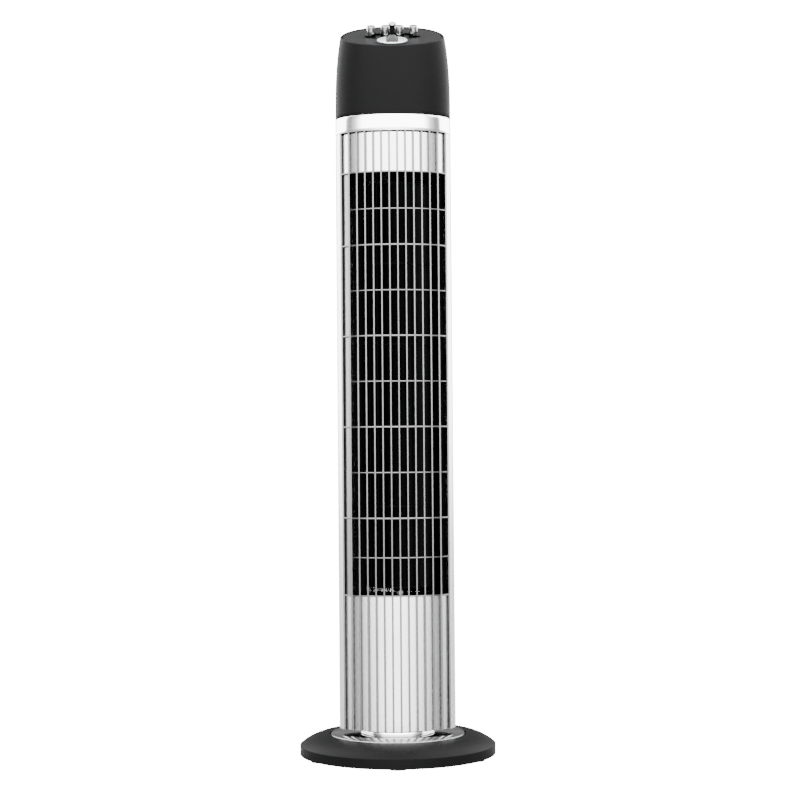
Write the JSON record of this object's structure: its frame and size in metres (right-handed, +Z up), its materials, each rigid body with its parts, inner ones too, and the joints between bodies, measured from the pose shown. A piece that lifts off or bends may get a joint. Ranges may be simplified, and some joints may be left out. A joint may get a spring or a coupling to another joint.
{
  "type": "tower fan",
  "caption": "Slim oval tower fan with a ribbed front grille, push buttons, a timer dial and a round base that it swings on.",
  "frame": {"origin": "on the floor, under the swivel axis at the centre of the round base", "axes": "+Z up along the column, -Y out of the air outlet, +X to the right of someone facing the outlet"},
  "size_m": [0.2, 0.2, 0.7604],
  "materials": {
    "silver_plastic": "satin silver paint",
    "bright_silver": "polished",
    "black_plastic": "fine matte grain",
    "panel_grey": "matte",
    "dark_plastic": "matte moulded",
    "steel": "plain",
    "iron": "rough",
    "rubber": "soft",
    "natural_plastic": "natural acetal",
    "dial_white": "glossy"
  },
  "bodies": {
    "base": {"base_cover": "black_plastic", "base_trim": "bright_silver", "base_plate": "dark_plastic", "base_weight": "iron", "base_screw_1": "steel", "base_screw_2": "steel", "base_screw_3": "steel", "rubber_foot_1": "rubber", "rubber_foot_2": "rubber", "rubber_foot_3": "rubber", "rubber_foot_4": "rubber", "rubber_foot_5": "rubber", "rubber_foot_6": "rubber", "swivel_post": "natural_plastic", "slip_washer": "natural_plastic", "post_retainer": "steel", "swing_yoke": "natural_plastic"},
    "impeller": {"impeller": "dark_plastic", "motor_rotor": "steel", "stub_shaft": "steel"},
    "crank": {"swing_crank": "natural_plastic"},
    "off_button": {"off_button": "bright_silver"},
    "speed_button_1": {"speed_button_1": "bright_silver"},
    "speed_button_2": {"speed_button_2": "bright_silver"},
    "speed_button_3": {"speed_button_3": "bright_silver"},
    "swing_knob": {"swing_knob": "bright_silver"},
    "timer": {"timer_dial": "dial_white", "timer_grip": "silver_plastic"},
    "column": {"front_grille": "silver_plastic", "upper_blank": "silver_plastic", "lower_blank": "silver_plastic", "side_strip": "silver_plastic", "rear_housing": "silver_plastic", "upper_ring": "bright_silver", "neck_collar": "bright_silver", "top_cap": "black_plastic", "carry_handle": "black_plastic", "control_panel": "panel_grey", "timer_ring": "panel_grey", "air_scroll": "dark_plastic", "air_tongue": "dark_plastic", "bearing_plate": "dark_plastic", "duct_floor": "dark_plastic", "column_lid": "dark_plastic", "column_floor": "dark_plastic", "speed_switch": "dark_plastic", "swing_switch": "dark_plastic", "timer_body": "dark_plastic", "motor_capacitor": "dark_plastic", "motor_plate": "steel", "motor_lower_shield": "steel", "motor_upper_shield": "steel", "swing_motor": "steel", "housing_screw_1": "steel", "housing_screw_2": "steel", "housing_screw_3": "steel", "housing_screw_4": "steel", "motor_stator": "iron", "cord_gland": "rubber", "bearing_bush": "rubber"}
  },
  "joints": [
    {"name": "column_swing", "type": "hinge", "parent": "base", "child": "column", "pos_m": [0, 0, 0.036], "axis": [0, 0, 1], "range_deg": [-37.5, 37.5]},
    {"name": "impeller_spin", "type": "hinge", "parent": "column", "child": "impeller", "pos_m": [0.004, 0.005, 0.38], "axis": [0, 0, 1], "continuous": true},
    {"name": "crank_turn", "type": "hinge", "parent": "column", "child": "crank", "pos_m": [0, 0.016, 0.055], "axis": [0, 0, -1], "range_deg": [-115, 115]},
    {"name": "off_button_press", "type": "slide", "parent": "column", "child": "off_button", "axis": [0, 0.4415, -0.8973], "range_m": [0, 0.0035], "stiffness_N_per_m": 300, "springref_m": -0.0005},
    {"name": "speed_button_1_press", "type": "slide", "parent": "column", "child": "speed_button_1", "axis": [0, 0.4415, -0.8973], "range_m": [0, 0.0035], "stiffness_N_per_m": 300, "springref_m": -0.0005},
    {"name": "speed_button_2_press", "type": "slide", "parent": "column", "child": "speed_button_2", "axis": [0, 0.4415, -0.8973], "range_m": [0, 0.0035], "stiffness_N_per_m": 300, "springref_m": -0.0005},
    {"name": "speed_button_3_press", "type": "slide", "parent": "column", "child": "speed_button_3", "axis": [0, 0.4415, -0.8973], "range_m": [0, 0.0035], "stiffness_N_per_m": 300, "springref_m": -0.0005},
    {"name": "swing_knob_press", "type": "slide", "parent": "column", "child": "swing_knob", "axis": [0, 0.4415, -0.8973], "range_m": [0, 0.004]},
    {"name": "timer_turn", "type": "hinge", "parent": "column", "child": "timer", "pos_m": [0, -0.01497, 0.73366], "axis": [0, 0.4415, -0.8973], "range_deg": [0, 300]}
  ],
  "couplings": [
    {"joint": "crank_turn", "follows": "column_swing", "ratio": 3}
  ]
}
